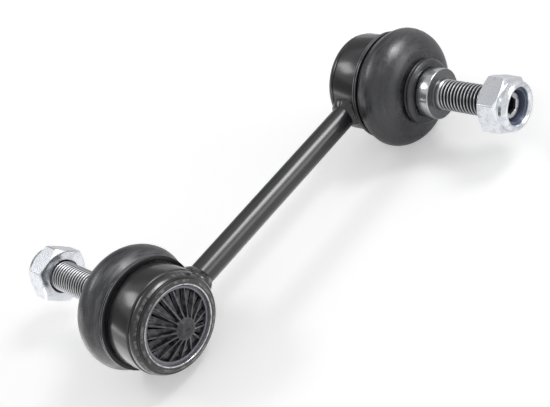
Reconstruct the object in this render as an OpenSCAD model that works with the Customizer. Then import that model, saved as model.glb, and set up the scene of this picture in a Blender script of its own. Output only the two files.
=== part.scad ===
// Stabilizer link: a straight rod with a ball joint welded on at each end, the studs facing opposite ways.
// The origin is midway between the ball centres. X runs along the rod from the lower joint to the upper,
// the studs lie along Y, and Z is up as the link lies flat on its boots.
// Each joint is drawn about its own Z axis, with the ball centre at zero and the stud pointing up.

/* [Rod] */
// Distance between the two ball centres
centre_distance = 111; // [90:1:180]
// Diameter of the rod
rod_d = 8; // [6:0.1:8.6]
// Leg of the weld fillet where the rod meets a housing
weld_leg = 1.6; // [0.8:0.1:2.4]

/* [Housing] */
// Outside diameter of the housing
housing_d = 32.4; // [31:0.1:38]
// Wall between the outside and the seat bore
housing_wall = 3.2; // [2.6:0.1:4]
// From the rod axis to the crease behind the rolled lip
housing_back = 4.8; // [4.8:0.1:6.5]
// From the rod axis to the shoulder that the boot bears on
housing_front = 4.9; // [4.6:0.1:6]
// Length of the spigot that carries the boot
spigot_length = 3.5; // [3.2:0.1:6]
// Depth of the groove round the spigot, below the housing's outside
spigot_depth = 2.3; // [1.6:0.1:3]
// Height of the rim that keeps the boot on the spigot
spigot_rim = 0.6; // [0.3:0.1:0.9]
// How far the lip is rolled in past the bore wall
lip_reach = 0.7; // [0.4:0.1:1.2]
// Thickness of the lip at its rolled edge
lip_thickness = 1.4; // [1:0.1:1.8]
// Depth of the crease between the lip and the housing's outside
lip_crease = 0.3; // [0.1:0.1:0.6]
// Depth of the line that the rolling tool presses into the lip
lip_line = 0.3; // [0.1:0.05:0.5]
// Angle of that line round the lip, from the housing's side
lip_line_turn = 54; // [35:1:70]

/* [Ball and seat] */
// Diameter of the ball
ball_d = 16; // [14:0.1:17]
// Diameter of the neck below the ball
neck_d = 9.2; // [8:0.1:9.8]
// Tilt of the stud each way, about each of its two axes
swing = 20; // [10:1:21]
// Wall of the seat behind the ball
seat_wall = 1.6; // [1:0.1:2]
// Thickness of the shoulder in front of the seat
shoulder = 0.6; // [0.4:0.1:0.6]

/* [End cap] */
// Thickness of the cap's flange under the lip
cap_flange = 1.5; // [1:0.1:1.8]
// Height of the hub above the seat
cap_rise = 2.4; // [2:0.1:3.5]
// Diameter of the hub where the ribs meet
hub_d = 6.4; // [5:0.1:8]
// Number of ribs
rib_count = 16; // [10:1:20]
// Thickness of a rib
rib_thickness = 0.8; // [0.5:0.1:1.2]
// Depth of the pockets between the ribs at the hub
rib_depth = 2; // [0.8:0.1:2]

/* [Stud] */
// Outside diameter of the stud's thread
thread_d = 9.9; // [8:0.1:9.9]
// Diameter of the plain pilot between the collar and the thread
pilot_d = 10.3; // [10.3:0.1:12]
// Length of the pilot
pilot_length = 1.5; // [1.2:0.1:5]
// From the rod axis to the end of the stud
stud_end = 54.5; // [46:0.5:70]
// Diameter of the land that the boot's neck seals on
land_d = 14.8; // [13:0.1:15.4]
// Diameter of the collar
collar_d = 16.5; // [16:0.1:20]
// Height of the collar
collar_height = 4.7; // [3:0.1:6]
// Bevel round the collar's bearing face
collar_bevel = 0.25; // [0.1:0.05:0.6]
// Width across flats of the hexagon socket in the stud's end
socket_af = 5; // [4:0.5:6]
// Depth of the hexagon socket
socket_depth = 6; // [4:0.5:10]

/* [Boot] */
// Largest diameter of the boot
boot_d = 39.2; // [38:0.1:44]
// Wall of the boot
boot_wall = 1.8; // [1.2:0.1:2]
// From the rod axis to the boot's largest diameter
boot_belly = 12.3; // [11:0.1:15]
// From the belly to the crease at the boot's neck
boot_shoulder = 8.5; // [7:0.1:10]
// Width of the boot's neck bead
bead_width = 2.9; // [2.6:0.1:4.4]
// Wall of the boot's neck bead
bead_wall = 3.2; // [2.6:0.1:3.6]
// Width of the boot's foot behind the clamp ring
foot_width = 0.3; // [0.2:0.1:0.6]
// How far that foot is set in below the housing's outside
foot_depth = 0.8; // [0.4:0.1:1.2]
// Width of the clamp ring
clamp_width = 1.5; // [1.3:0.1:1.6]
// Thickness of the clamp ring
clamp_thickness = 1.4; // [1.3:0.1:1.8]
// Width of the groove between the clamp ring and the boot's belly
clamp_line = 0.4; // [0.2:0.1:0.6]
// Diameter of the spring wire in the neck's groove
neck_wire_d = 1; // [0.8:0.1:1.2]

/* [Nut] */
// Width across flats of the lock nut
nut_af = 17; // [16:0.5:20]
// Height of the lock nut
nut_height = 10; // [9:0.5:13]
// Height of the nut's hexagon
hex_height = 7.2; // [5:0.1:7.5]
// Diameter of the round crown that holds the insert
crown_d = 15.8; // [15:0.1:16]
// Wall of the crown
crown_wall = 1; // [0.8:0.1:1.2]
// Diameter of the crown's open end
crown_mouth_d = 11.5; // [11:0.1:12.5]
// How far the crown's edge is turned down inside its top
crown_curl = 1.2; // [0.6:0.1:1.4]
// Height of the locking insert
insert_height = 2.2; // [1.6:0.1:2.8]
// From the rod axis to the bearing face of the upper nut
upper_nut_face = 47.5; // [40:0.5:60]
// From the rod axis to the bearing face of the lower nut
lower_nut_face = 50; // [40:0.5:60]

/* [Hidden] */
$fn = 96;

// Clearances: between pieces that are fixed together, on the running fits, and round the rubber
fixed_gap = 0.05;
run_gap = 0.05;
soft_gap = 0.1;
// Room round the neck in the mouth of the housing and of the seat, at full tilt
housing_room = 0.8;
seat_room = 0.4;
// Chamfers on turned edges
edge = 0.5;

// Turn of each nut's hexagon, and of the cap's ribs, about the joint's axis
upper_nut_turn = 24;
lower_nut_turn = 48;
rib_turn = 3;

// Housing
housing_r = housing_d / 2;
bore_r = housing_r - housing_wall;
lip_r = bore_r - lip_reach;
lip_round = housing_r - lip_crease - lip_r - edge;
lip_top = -housing_back - lip_round;
lip_under = lip_top + lip_thickness;
housing_mouth = housing_front + spigot_length;
spigot_r = housing_r - spigot_depth;
rim_back = housing_front + foot_width + clamp_width + 4 * soft_gap + spigot_rim;
shoulder_back = housing_front - shoulder;

// Tilt of the stud when it leans fully about both axes
full_tilt = acos(cos(swing) ^ 2);
ball_r = ball_d / 2;
neck_r = neck_d / 2;
function mouth_r(z, room) = z * tan(full_tilt) + neck_r / cos(full_tilt) + room;

// Seat and end cap
cavity_r = ball_r + run_gap;
dome_r = cavity_r + seat_wall;
seat_r = bore_r - fixed_gap;
seat_top = shoulder_back - fixed_gap;
cap_top = lip_under + fixed_gap;
cap_back = cap_top + cap_flange;
seat_back = cap_back + fixed_gap;
hub_top = -dome_r - cap_rise;
boss_r = lip_r - edge;
boss_top = lip_top + 2 * edge;

// Stud
thread_r = thread_d / 2;
pilot_r = pilot_d / 2;
land_r = land_d / 2;
collar_r = collar_d / 2;
bead_back = boot_belly + boot_shoulder;
collar_back = bead_back + bead_width + 2 * soft_gap;
collar_face = collar_back + collar_height;
flare_start = (housing_mouth + neck_r * sin(full_tilt)) / cos(full_tilt) + housing_room;
land_start = flare_start + land_r - neck_r + edge;
pilot_end = collar_face + pilot_length;

// Boot
boot_back = housing_front + soft_gap;
clamp_back = boot_back + foot_width + soft_gap;
clamp_front = clamp_back + clamp_width;
belly_start = clamp_front + clamp_line;
boot_r = boot_d / 2;
groove_r = housing_r + soft_gap;
clamp_in = groove_r + soft_gap;
clamp_out = clamp_in + clamp_thickness;
belly_start_r = clamp_out - edge;
foot_r = spigot_r + soft_gap;
foot_out = housing_r - foot_depth;
bead_in = land_r + soft_gap;
bead_r = bead_in + bead_wall;
wire_groove = neck_wire_d + 2 * soft_gap;
wire_r = bead_r - neck_wire_d / 2 - soft_gap;

// Nut
nut_bore = thread_r + run_gap;
crown_r = crown_d / 2;
pocket_r = crown_r - crown_wall;
mouth_top = nut_height - crown_curl;
pocket_top = mouth_top - crown_wall / 2;
pocket_floor = pocket_top - insert_height - 2 * fixed_gap;
crown_mouth_r = crown_mouth_d / 2;
crest_r = (crown_r + crown_mouth_r) / 2;

// Points along part of an ellipse about a centre, from one angle to another
function bow(centre, rx, ry, from, to, steps = 10) =
    [for (i = [0 : steps])
        let (a = from + (to - from) * i / steps)
        centre + [rx * cos(a), ry * sin(a)]];

// Points up the boot's lower side, from the clamp ring to the belly, for a skin this far in
function lower_side(skin, from, steps = 10) =
    [for (i = [0 : steps])
        let (z = from + (boot_belly - from) * i / steps)
        let (t = (z - belly_start) / (boot_belly - belly_start))
        [belly_start_r - skin + (boot_r - belly_start_r) * sin(90 * t), z]];

function reversed(points) = [for (i = [len(points) - 1 : -1 : 0]) points[i]];

// Puts a joint's own axes at the upper end of the rod, or at the lower end
module at_upper() { translate([centre_distance / 2, 0, 0]) rotate([90, 0, 0]) children(); }
module at_lower() { rotate([0, 0, 180]) at_upper() children(); }

module rod_shape() {
    difference() {
        rotate([0, 90, 0]) cylinder(h = centre_distance, d = rod_d, center = true);
        at_upper() cylinder(h = 2 * housing_d, r = housing_r + fixed_gap, center = true);
        at_lower() cylinder(h = 2 * housing_d, r = housing_r + fixed_gap, center = true);
    }
}

// Fillet of weld round the rod, trimmed to the housing's outside and kept off the boot and the lip
module weld_shape() {
    rod_r = rod_d / 2 + fixed_gap;
    out = housing_r + fixed_gap;
    keep = min(housing_front, housing_back - 2 * lip_crease) - 2 * fixed_gap;
    difference() {
        intersection() {
            rotate([0, -90, 0]) rotate_extrude() polygon(concat(
                [[rod_r, out - weld_leg], [rod_r + weld_leg, out - weld_leg]],
                bow([rod_r + weld_leg, out + weld_leg], weld_leg, weld_leg, 270, 180)));
            cube([4 * housing_d, 4 * housing_d, 2 * keep], center = true);
        }
        cylinder(h = 2 * housing_d, r = out, center = true);
    }
}

// Turned ring with its back edge rolled in over the end cap and a grooved spigot for the boot in front
module housing_shape() {
    rim_r = spigot_r + spigot_rim;
    rolled = [lip_r + edge, -housing_back];
    line_r = lip_round - lip_line;
    line_half = atan(lip_line / lip_round);
    rotate_extrude() polygon(concat(
        [[lip_r, lip_under], [lip_r, lip_top + edge]],
        bow(rolled, lip_round, lip_round, -90, -lip_line_turn - line_half, 5),
        [rolled + [line_r * cos(lip_line_turn), -line_r * sin(lip_line_turn)]],
        bow(rolled, lip_round, lip_round, -lip_line_turn + line_half, 0, 7),
        [[housing_r - lip_crease, -housing_back + lip_crease], [housing_r, -housing_back + 2 * lip_crease],
         [housing_r, housing_front], [spigot_r, housing_front], [spigot_r, rim_back], [rim_r, rim_back],
         [rim_r, housing_mouth - edge], [rim_r - edge, housing_mouth],
         [mouth_r(housing_mouth, housing_room), housing_mouth],
         [mouth_r(shoulder_back, housing_room), shoulder_back],
         [bore_r, shoulder_back], [bore_r, lip_under]]));
}

// Bearing shell that holds the ball past its equator and ends in a dome behind it
module seat_shape() {
    mouth_angle = asin(neck_r / ball_r) + full_tilt + 2;
    difference() {
        union() {
            translate([0, 0, seat_back]) cylinder(h = seat_top - seat_back, r = seat_r);
            intersection() {
                sphere(r = dome_r);
                translate([0, 0, -2 * dome_r]) cylinder(h = 2 * dome_r, r = dome_r);
            }
        }
        sphere(r = cavity_r);
        rotate_extrude() polygon([
            [0, 0], cavity_r * [sin(mouth_angle), cos(mouth_angle)],
            [mouth_r(seat_top, seat_room) + edge, seat_top + edge], [0, seat_top + edge]]);
    }
}

// Domed cover over the seat, with ribs from its rim to a hub and a pocket between each two
module cap_shape() {
    hub_r = hub_d / 2;
    rim_in = boss_r - edge;
    floor_hub = hub_top + rib_depth;
    floor_rim = boss_top + edge;
    difference() {
        union() {
            rotate_extrude() polygon([
                [0, cap_back], [seat_r, cap_back], [seat_r, cap_top], [boss_r, cap_top], [boss_r, boss_top],
                [rim_in, boss_top], [rim_in, floor_rim], [hub_r, floor_hub], [hub_r, hub_top + edge / 2],
                [hub_r - edge / 2, hub_top], [0, hub_top]]);
            for (i = [0 : rib_count - 1])
                rotate([90, 0, rib_turn + i * 360 / rib_count])
                    linear_extrude(height = rib_thickness, center = true)
                        polygon([
                            [hub_r / 2, floor_hub + edge], [rim_in + edge / 2, floor_rim + edge / 2],
                            [rim_in + edge / 2, boss_top], [hub_r / 2, hub_top + edge / 2]]);
        }
        sphere(r = dome_r + fixed_gap);
        // Dimple in the hub
        translate([0, 0, hub_top - edge]) sphere(r = 2 * edge);
    }
}

// Ring that clamps the boot's foot on the spigot, with its outer corners rounded
module clamp_shape() {
    round_r = clamp_thickness / 2;
    rotate_extrude() polygon(concat(
        [[clamp_in, clamp_back]],
        bow([clamp_out - round_r, clamp_back + round_r], round_r, round_r, -90, 0, 4),
        bow([clamp_out - round_r, clamp_front - round_r], round_r, round_r, 0, 90, 4),
        [[clamp_in, clamp_front]]));
}

// Rubber bellows from its foot in the spigot's groove, over a round belly, to a bead on the stud's land
module boot_shape() {
    skin_end = bead_back - boot_wall;
    foot_top = rim_back - soft_gap;
    rotate_extrude() polygon(concat(
        [[foot_r, boot_back], [foot_out, boot_back], [foot_out, clamp_back - soft_gap],
         [groove_r, clamp_back - soft_gap], [groove_r, belly_start]],
        lower_side(0, belly_start),
        bow([bead_r, boot_belly], boot_r - bead_r, boot_shoulder, 6, 90, 14),
        [[bead_r - wire_groove, bead_back], [bead_r - wire_groove, bead_back + wire_groove]],
        bow([bead_r - 2 * edge, bead_back + wire_groove + 2 * edge], 2 * edge, bead_width - wire_groove - 2 * edge,
            0, 90, 6),
        [[bead_in, bead_back + bead_width], [bead_in, skin_end]],
        reversed(bow([bead_in, boot_belly], boot_r - boot_wall - bead_in, skin_end - boot_belly, 6, 84, 14)),
        reversed(lower_side(boot_wall, foot_top)),
        [[foot_r, foot_top]]));
}

module neck_ring_shape() {
    translate([0, 0, bead_back + wire_groove / 2]) rotate_extrude() translate([wire_r, 0]) circle(d = neck_wire_d);
}

// Ball, neck, flared land for the boot, collar, pilot and threaded shank in one piece
module stud_shape() {
    difference() {
        union() {
            sphere(r = ball_r);
            rotate_extrude() polygon([
                [0, 0], [neck_r, 0], [neck_r, flare_start], [land_r, land_start], [land_r, collar_back],
                [collar_r - edge, collar_back], [collar_r, collar_back + edge],
                [collar_r, collar_face - collar_bevel], [collar_r - collar_bevel, collar_face],
                [pilot_r, collar_face], [pilot_r, pilot_end], [thread_r, pilot_end + pilot_r - thread_r],
                [thread_r, stud_end - 2 * edge], [thread_r - 2 * edge, stud_end], [0, stud_end]]);
        }
        translate([0, 0, stud_end - socket_depth])
            cylinder(h = socket_depth + 1, d = socket_af / cos(30), $fn = 6);
    }
}

// Hexagon with chamfered corners and a round crown whose edge curls in over the insert
module nut_shape() {
    corner_r = nut_af / 2 / cos(30);
    face_r = 0.95 * nut_af / 2;
    bevel = (corner_r - face_r) * tan(30);
    crown_round = nut_height - hex_height - 2 * edge;
    difference() {
        union() {
            intersection() {
                cylinder(h = hex_height, r = corner_r, $fn = 6);
                rotate_extrude() polygon([
                    [0, 0], [face_r, 0], [corner_r, bevel], [corner_r, hex_height - bevel],
                    [face_r, hex_height], [0, hex_height]]);
            }
            rotate_extrude() polygon(concat(
                [[0, hex_height / 2], [crown_r, hex_height / 2]],
                bow([crest_r, nut_height - crown_round], crown_r - crest_r, crown_round, 0, 90, 6),
                bow([crest_r, mouth_top], crest_r - crown_mouth_r, crown_curl, 90, 180, 6),
                [[0, mouth_top]]));
        }
        rotate_extrude() polygon([
            [0, -edge], [nut_bore + 2 * edge, -edge], [nut_bore + edge, 0], [nut_bore, edge],
            [nut_bore, pocket_floor], [pocket_r, pocket_floor], [pocket_r, pocket_top],
            [crown_mouth_r, pocket_top], [crown_mouth_r, nut_height + edge], [0, nut_height + edge]]);
    }
}

// Locking ring in the crown's pocket, standing up a little inside the closed-in edge
module insert_shape() {
    rotate_extrude() polygon([
        [nut_bore, pocket_floor + fixed_gap], [pocket_r - fixed_gap, pocket_floor + fixed_gap],
        [pocket_r - fixed_gap, pocket_top - fixed_gap], [crown_mouth_r - fixed_gap, pocket_top - fixed_gap],
        [crown_mouth_r - fixed_gap, pocket_top + crown_wall / 4], [nut_bore, pocket_top + crown_wall / 4]]);
}

module link_rod() { color("#2b2c30") rod_shape(); }

module upper_weld() { color("#27282b") at_upper() weld_shape(); }
module upper_housing() { color("#2b2c30") at_upper() housing_shape(); }
module upper_ball_seat() { color("#e8e6dc") at_upper() seat_shape(); }
module upper_end_cap() { color("#1c1d20") at_upper() cap_shape(); }
module upper_boot_clamp() { color("#3a3b3f") at_upper() clamp_shape(); }
module upper_dust_boot() { color("#303136") at_upper() boot_shape(); }
module upper_neck_ring() { color("#202124") at_upper() neck_ring_shape(); }
module upper_ball_stud() { color("#8d9096") at_upper() stud_shape(); }
module upper_lock_nut() {
    color("#d4d7dc") at_upper() translate([0, 0, upper_nut_face]) rotate([0, 0, upper_nut_turn]) nut_shape();
}
module upper_nut_insert() { color("#2f3358") at_upper() translate([0, 0, upper_nut_face]) insert_shape(); }

module lower_weld() { color("#27282b") at_lower() weld_shape(); }
module lower_housing() { color("#2b2c30") at_lower() housing_shape(); }
module lower_ball_seat() { color("#e8e6dc") at_lower() seat_shape(); }
module lower_end_cap() { color("#1c1d20") at_lower() cap_shape(); }
module lower_boot_clamp() { color("#3a3b3f") at_lower() clamp_shape(); }
module lower_dust_boot() { color("#303136") at_lower() boot_shape(); }
module lower_neck_ring() { color("#202124") at_lower() neck_ring_shape(); }
module lower_ball_stud() { color("#8d9096") at_lower() stud_shape(); }
module lower_lock_nut() {
    color("#d4d7dc") at_lower() translate([0, 0, lower_nut_face]) rotate([0, 0, lower_nut_turn]) nut_shape();
}
module lower_nut_insert() { color("#2f3358") at_lower() translate([0, 0, lower_nut_face]) insert_shape(); }

link_rod();
upper_weld();
upper_housing();
upper_ball_seat();
upper_end_cap();
upper_boot_clamp();
upper_dust_boot();
upper_neck_ring();
upper_ball_stud();
upper_lock_nut();
upper_nut_insert();
lower_weld();
lower_housing();
lower_ball_seat();
lower_end_cap();
lower_boot_clamp();
lower_dust_boot();
lower_neck_ring();
lower_ball_stud();
lower_lock_nut();
lower_nut_insert();
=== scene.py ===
"""Looks of a stabilizer link, a straight rod with a booted ball joint at each end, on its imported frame."""

import math

import bmesh
import bpy
from bpy.props import FloatProperty, FloatVectorProperty, IntProperty, PointerProperty
from mathutils import Matrix, Vector


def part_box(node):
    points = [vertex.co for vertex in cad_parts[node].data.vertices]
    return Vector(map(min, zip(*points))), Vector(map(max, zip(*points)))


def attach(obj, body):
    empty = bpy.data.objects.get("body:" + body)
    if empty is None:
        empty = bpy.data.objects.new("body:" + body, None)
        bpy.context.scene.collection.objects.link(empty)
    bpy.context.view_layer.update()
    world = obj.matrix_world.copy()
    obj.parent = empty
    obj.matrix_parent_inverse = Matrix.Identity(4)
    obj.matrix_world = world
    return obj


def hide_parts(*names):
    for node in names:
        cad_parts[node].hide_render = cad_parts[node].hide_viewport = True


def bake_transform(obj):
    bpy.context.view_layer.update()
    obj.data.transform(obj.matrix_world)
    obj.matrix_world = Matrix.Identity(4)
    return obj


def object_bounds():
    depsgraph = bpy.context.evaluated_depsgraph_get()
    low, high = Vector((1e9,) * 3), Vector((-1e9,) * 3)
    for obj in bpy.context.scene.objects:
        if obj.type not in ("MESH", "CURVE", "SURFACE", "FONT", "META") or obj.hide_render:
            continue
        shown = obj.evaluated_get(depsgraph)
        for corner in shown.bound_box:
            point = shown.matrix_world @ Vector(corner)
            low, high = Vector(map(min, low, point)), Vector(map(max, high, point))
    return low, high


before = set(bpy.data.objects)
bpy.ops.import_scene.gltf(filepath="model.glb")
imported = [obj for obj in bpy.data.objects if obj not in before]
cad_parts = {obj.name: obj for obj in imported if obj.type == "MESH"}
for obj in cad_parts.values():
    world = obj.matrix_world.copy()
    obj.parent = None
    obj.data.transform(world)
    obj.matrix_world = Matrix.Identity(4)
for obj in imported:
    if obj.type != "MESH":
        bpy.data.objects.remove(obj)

bl_info = {
    "name": "Stabilizer Link",
    "version": (1, 0, 0),
    "blender": (4, 5, 0),
    "location": "3D View > Sidebar > Stabilizer Link",
    "description": "Builds the painted, moulded and plated pieces of a stabilizer link on its packed frame",
    "category": "Object",
}

MM = 0.001
CAD_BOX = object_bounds()
ENDS = ("upper", "lower")

# Steps in a full turn, in a rounded corner, in a long curve and in a short one
TURN = 144
CORNER = 4
CURVE = 18
SHORT = 8
# Distance at which points are one, and at which they lie at one height
SAME = 1e-7
LEVEL = 1e-6
# Above this angle between two faces their edge is shaded sharp
SHARP = math.radians(32)
# Sockets of a colour's Mix node
MIX_SHARE, MIX_FIRST, MIX_SECOND, MIX_RESULT = 0, 6, 7, 2
# Tints of wear and dirt; the rubbed ring tint and the rubber bloom tint are partly painted highlights
BARE_STEEL = (0.62, 0.62, 0.63)
SCUFFED_PAINT = (0.16, 0.16, 0.165)
RUBBED_RING_AND_HIGHLIGHT = (0.26, 0.26, 0.27)
RUBBER_BLOOM_AND_HIGHLIGHT = (0.12, 0.122, 0.13)
DULL_ZINC = (0.36, 0.40, 0.48)
SEAT_GREASE = (0.62, 0.56, 0.42)
# Tints of the stage
WHITE = (1, 1, 1, 1)
FLOOR_WHITE = (0.86, 0.86, 0.86, 1)


def span(piece):
    """Back, front and radius of a piece of the upper joint, along the joint's axis and about it."""
    low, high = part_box("upper_" + piece)
    return -high.y, -low.y, (high.z - low.z) / 2


HOUSING_BACK, HOUSING_MOUTH, HOUSING_RADIUS = span("housing")
CAP_HUB, CAP_FRONT, CAP_RADIUS = span("end_cap")
CLAMP_BACK, CLAMP_FRONT, CLAMP_RADIUS = span("boot_clamp")
BOOT_BACK, BOOT_FRONT, BOOT_RADIUS = span("dust_boot")
WIRE_BACK, WIRE_FRONT, WIRE_RADIUS = span("neck_ring")
BALL_BACK, STUD_END, COLLAR_RADIUS = span("ball_stud")
NUT_FACE, NUT_TOP, _ = span("lock_nut")
INSERT_BACK, INSERT_TOP, INSERT_RADIUS = span("nut_insert")
ROD_LOW, ROD_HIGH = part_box("link_rod")
CENTRE = sum(corner.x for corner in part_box("upper_housing")) / 2
LOWER_NUT_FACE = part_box("lower_lock_nut")[0].y


def length(name, description, default):
    """A length that a user may change."""
    return FloatProperty(name=name, description=description, default=default, subtype="DISTANCE",
                         unit="LENGTH", precision=5)


def colour(name, description, default):
    """A colour that a user may change."""
    return FloatVectorProperty(name=name, description=description, default=default, subtype="COLOR",
                               min=0, max=1, size=3)


class LinkSizes(bpy.types.PropertyGroup):
    """Sizes of the link's pieces, in metres along and about a joint's axis from the ball centre."""

    rod_radius: length("Rod radius", "Radius of the rod", (ROD_HIGH.z - ROD_LOW.z) / 2)
    weld_length: length("Weld length", "How far the weld runs along the rod", 2.3 * MM)
    weld_height: length("Weld height", "Height of the weld on the housing, above the rod", 1.6 * MM)
    weld_ripple: length("Weld ripple", "Height of the ripples on the weld", 0.1 * MM)
    lip_radius: length("Lip radius", "Radius of the rolled lip's inner edge", 12.3 * MM)
    lip_round: length("Lip round", "Radius of the rolled lip's outside", 3.1 * MM)
    lip_line: length("Lip line", "Radius of the line pressed into the lip", 14.6 * MM)
    lip_groove: length("Lip groove", "Depth of the line pressed into the lip", 0.35 * MM)
    crease: length("Crease", "Depth of the crease behind the lip", 0.7 * MM)
    shoulder: length("Shoulder", "Place of the shoulder that carries the boot", 4.9 * MM)
    hub_radius: length("Hub radius", "Radius of the end cap's hub", 3.2 * MM)
    rib_width: length("Rib width", "Width of a rib of the end cap at its top", 0.44 * MM)
    pocket_depth: length("Pocket depth", "Depth of the pockets between the ribs, at the hub", 2.0 * MM)
    belly: length("Belly", "Place of the boot's largest diameter", 12.3 * MM)
    neck: length("Neck", "Place of the crease at the boot's neck", 20.8 * MM)
    bead_radius: length("Bead radius", "Radius of the bead at the boot's neck", 10.7 * MM)
    boot_wall: length("Boot wall", "Wall of the boot", 1.8 * MM)
    neck_radius: length("Stud neck radius", "Radius of the stud's neck, in front of its ball", 4.6 * MM)
    land_radius: length("Land radius", "Radius of the land under the boot's neck", 7.4 * MM)
    collar_back: length("Collar back", "Place of the collar's back face", 23.9 * MM)
    collar_face: length("Collar face", "Place of the collar's bearing face", 28.6 * MM)
    pilot_radius: length("Pilot radius", "Radius of the plain stretch in front of the collar", 5.15 * MM)
    pilot_end: length("Pilot end", "Place where the thread starts", 30.1 * MM)
    thread_radius: length("Thread radius", "Outside radius of the thread", 4.95 * MM)
    pitch: length("Pitch", "Pitch of the thread", 1.25 * MM)
    socket_width: length("Socket width", "Width across flats of the socket in the stud's end", 5 * MM)
    nut_width: length("Nut width", "Width across flats of the nut", 17 * MM)
    hex_height: length("Hexagon height", "Height of the nut's hexagon", 7.2 * MM)
    crown_radius: length("Crown radius", "Radius of the nut's round crown", 7.9 * MM)
    mouth_radius: length("Mouth radius", "Radius of the crown's open end", 5.75 * MM)
    crown_curl: length("Crown curl", "How far the crown's edge is turned down inside its top", 1.2 * MM)
    ribs: IntProperty(name="Ribs", description="Number of ribs on the end cap", default=16, min=8, max=24)


class LinkColours(bpy.types.PropertyGroup):
    """Colours of the link's finishes."""

    paint: colour("Paint", "Black paint of the rod and housings", (0.007, 0.007, 0.0085))
    rubber: colour("Rubber", "Rubber of the boots", (0.014, 0.0145, 0.0175))
    cap: colour("Cap", "Plastic of the end caps", (0.007, 0.007, 0.008))
    ring: colour("Ring", "Blackened steel of the clamp rings and neck rings", (0.008, 0.008, 0.009))
    zinc: colour("Zinc", "Plating of the nuts", (0.77, 0.79, 0.82))
    steel: colour("Steel", "Steel of the studs", (0.52, 0.53, 0.55))
    # The thread's roots and flanks take this near-black colour, partly as oil and partly as painted shade
    thread: colour("Thread", "Oil in the thread's roots", (0.035, 0.035, 0.037))
    nylon: colour("Nylon", "Locking rings in the nuts", (0.085, 0.097, 0.155))
    seat: colour("Seat", "Bearing shells round the balls", (0.80, 0.78, 0.70))


class LinkStage(bpy.types.PropertyGroup):
    """The camera and the light round the link."""

    camera_place: FloatVectorProperty(
        name="Camera place", description="Where the camera stands", default=(-0.14778, -0.23387, 0.20340),
        subtype="TRANSLATION", unit="LENGTH")
    camera_turn: FloatVectorProperty(
        name="Camera turn", description="How the camera is turned", default=(0.868546, 0.381428, -0.862349),
        subtype="EULER", unit="ROTATION")
    lens: FloatProperty(
        name="Lens", description="Focal length of the camera, in millimetres", default=70.89, unit="CAMERA")
    fill: FloatProperty(
        name="Fill", description="Light of the surroundings on the link", default=0.45, min=0, max=1,
        subtype="FACTOR")


def end_place(end):
    """Matrix from a joint's own axes, with the stud along Z, to the row frame."""
    upper = Matrix.Translation((CENTRE, 0, 0)) @ Matrix.Rotation(math.pi / 2, 4, "X")
    return upper if end == "upper" else Matrix.Rotation(math.pi, 4, "Z") @ upper


def bow(centre, across, along, start, end, steps=CURVE):
    """Corners along part of an ellipse about a centre, between two angles in degrees."""
    angles = [math.radians(start + (end - start) * i / steps) for i in range(steps + 1)]
    return [(centre[0] + across * math.cos(a), centre[1] + along * math.sin(a), 0) for a in angles]


def turned(corners, closed=True, steps=TURN):
    """A mesh turned about Z from corners, each a radius, a place along the axis and a rounding."""
    bm = bmesh.new()
    points = [bm.verts.new((radius, 0, place)) for radius, place, _ in corners]
    for start, end in zip(points, points[1:]):
        bm.edges.new((start, end))
    if closed:
        bm.edges.new((points[-1], points[0]))
    for rounding in sorted({corner[2] for corner in corners} - {0}):
        bmesh.ops.bevel(bm, geom=[p for p, c in zip(points, corners) if c[2] == rounding], offset=rounding,
                        offset_type="OFFSET", segments=CORNER, profile=0.5, affect="VERTICES", material=-1)
    whole_turn(bm, steps)
    return bm


def whole_turn(bm, steps=TURN):
    """Spins an outline all the way about Z and merges its seam."""
    bmesh.ops.spin(bm, geom=bm.verts[:] + bm.edges[:], cent=(0, 0, 0), axis=(0, 0, 1), angle=math.tau,
                   steps=steps, use_merge=True)
    settle(bm)


def settle(bm):
    """Merges points that meet and turns the faces outwards."""
    bmesh.ops.remove_doubles(bm, verts=bm.verts, dist=SAME)
    bmesh.ops.recalc_face_normals(bm, faces=bm.faces)


def pull_ring(bm, edges, spot):
    """Extrudes a ring of edges, and puts each new point at spot's radius and height for its angle."""
    made = bmesh.ops.extrude_edge_only(bm, edges=edges)["geom"]
    points = {item for item in made if isinstance(item, bmesh.types.BMVert)}
    for point in points:
        angle = math.atan2(point.co.y, point.co.x)
        radius, height = spot(angle)
        point.co = (radius * math.cos(angle), radius * math.sin(angle), height)
    return [item for item in made if isinstance(item, bmesh.types.BMEdge) and points.issuperset(item.verts)]


def rim_edges(bm, height):
    """The open edges of a mesh at one height."""
    return [e for e in bm.edges if e.is_boundary and all(abs(v.co.z - height) < LEVEL for v in e.verts)]


def hexagon(width, angle):
    """Radius of a hexagon of this width across flats, at an angle from one of its corners."""
    return width / 2 / math.cos(angle % (math.pi / 3) - math.pi / 6)


def placed(bm, name, end=None):
    """An object of the finished mesh, put at its end of the link and shaded."""
    if end:
        bmesh.ops.transform(bm, matrix=end_place(end), verts=bm.verts)
    mesh = bpy.data.meshes.new(name)
    bm.to_mesh(mesh)
    bm.free()
    mesh.shade_smooth()
    mesh.set_sharp_from_angle(angle=SHARP)
    piece = bpy.data.objects.new(name, mesh)
    bpy.context.scene.collection.objects.link(piece)
    return piece


def dress(piece, finish, slot, *nodes):
    """Gives a piece its finish and hides the nodes that it stands for; its slot is not used."""
    piece.data.materials.append(finish)
    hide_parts(*nodes)


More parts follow.
